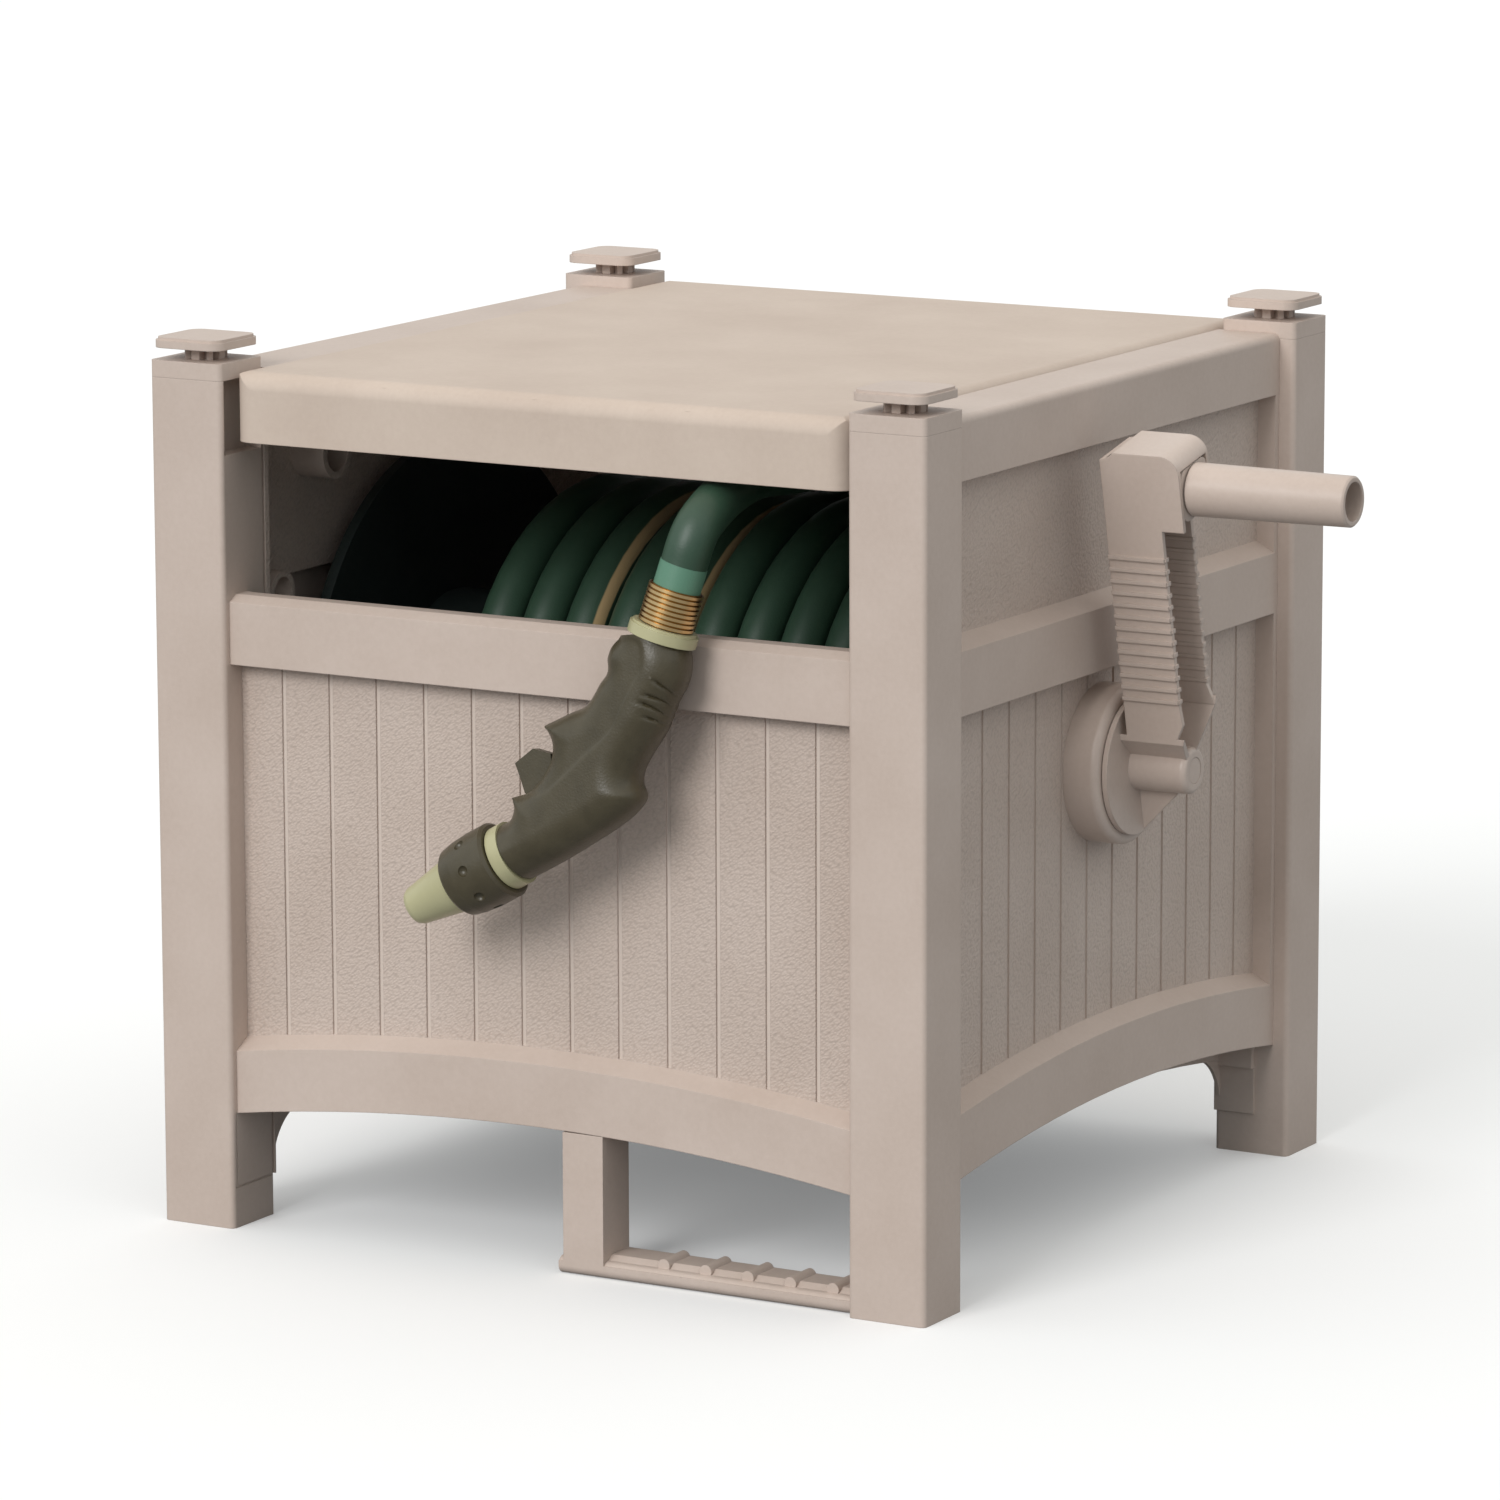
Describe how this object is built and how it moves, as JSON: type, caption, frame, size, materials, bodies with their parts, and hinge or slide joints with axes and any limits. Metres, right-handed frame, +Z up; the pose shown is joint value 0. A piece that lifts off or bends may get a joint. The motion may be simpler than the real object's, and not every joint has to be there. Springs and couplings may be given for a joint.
{
  "type": "hose reel box",
  "caption": "Square resin garden hose reel box on four posts, with a hinged lid, an open front for the hose, a side crank with folding grip and a foothold",
  "frame": {"origin": "on the floor under the middle of the whole part, from the inlet stub's tip to the crank grip's tip", "axes": "+X to the crank side, +Y to the back, +Z up"},
  "size_m": [0.614, 0.5072, 0.472],
  "materials": {
    "resin": "taupe moulded resin, satin",
    "reel_resin": "near-black green resin",
    "hose": "dark green vinyl, soft sheen",
    "hose_end": "light green vinyl",
    "seal_rubber": "black rubber",
    "black_plastic": "black nylon",
    "steel": "zinc-plated steel",
    "brass": "dull brass",
    "pale_plastic": "pale green plastic",
    "nozzle_rubber": "soft grey-brown overmould"
  },
  "bodies": {
    "cabinet": {"left_panel": "resin", "right_panel": "resin", "front_panel": "resin", "back_panel": "resin", "post_front_left": "resin", "post_front_right": "resin", "post_rear_left": "resin", "post_rear_right": "resin", "cap_front_left": "resin", "cap_front_right": "resin", "cap_rear_left": "resin", "cap_rear_right": "resin", "corner_pin_front_left": "resin", "corner_pin_front_right": "resin", "corner_pin_rear_left": "resin", "corner_pin_rear_right": "resin", "foothold": "resin", "foothold_screws": "steel", "reel_bearing": "reel_resin", "inlet_housing": "resin", "inlet_screws": "steel", "inlet_o_rings": "seal_rubber", "crank_collar": "resin", "collar_screws": "steel", "free_hose": "hose", "hose_sleeve": "hose_end", "hose_coupling": "brass", "coupling_washer": "seal_rubber", "nozzle_collar": "pale_plastic", "nozzle_body": "nozzle_rubber", "trigger_pin": "steel", "barrel_ring": "pale_plastic"},
    "lid": {"lid": "resin"},
    "reel": {"reel_flange_left": "reel_resin", "reel_flange_right": "reel_resin", "reel_drum": "reel_resin", "water_pipe": "black_plastic", "hose_core": "hose", "wound_hose": "hose", "crank_arm": "resin", "crank_screw": "steel", "crank_plug": "resin", "knuckle_pin": "steel"},
    "knuckle": {"grip_knuckle": "resin", "grip_retainer": "steel"},
    "grip": {"crank_grip": "resin"},
    "trigger": {"nozzle_trigger": "nozzle_rubber"},
    "twist": {"twist_collar": "nozzle_rubber", "spray_tip": "pale_plastic"}
  },
  "joints": [
    {"name": "reel_spin", "type": "hinge", "parent": "cabinet", "child": "reel", "pos_m": [-0.063, 0, 0.25], "axis": [1, 0, 0], "continuous": true, "deforming": ["free_hose"]},
    {"name": "grip_fold", "type": "hinge", "parent": "reel", "child": "knuckle", "pos_m": [0.192, -0.03398, 0.40328], "axis": [0, 0.9763, 0.2164], "range_deg": [0, 90]},
    {"name": "grip_spin", "type": "hinge", "parent": "knuckle", "child": "grip", "pos_m": [0.237, -0.03398, 0.40328], "axis": [1, 0, 0], "continuous": true},
    {"name": "lid_hinge", "type": "hinge", "parent": "cabinet", "child": "lid", "pos_m": [-0.063, 0.213, 0.446], "axis": [-1, 0, 0], "range_deg": [0, 100]},
    {"name": "nozzle_trigger", "type": "hinge", "parent": "cabinet", "child": "trigger", "pos_m": [-0.041, -0.25322, 0.25292], "axis": [0, 0.9903, -0.1392], "range_deg": [0, 12], "stiffness_Nm_per_rad": 1.5, "springref_deg": -8.59},
    {"name": "nozzle_twist", "type": "hinge", "parent": "cabinet", "child": "twist", "pos_m": [-0.0527, -0.2568, 0.22747], "axis": [-0.866, -0.0696, -0.4951], "range_deg": [0, 270]}
  ]
}
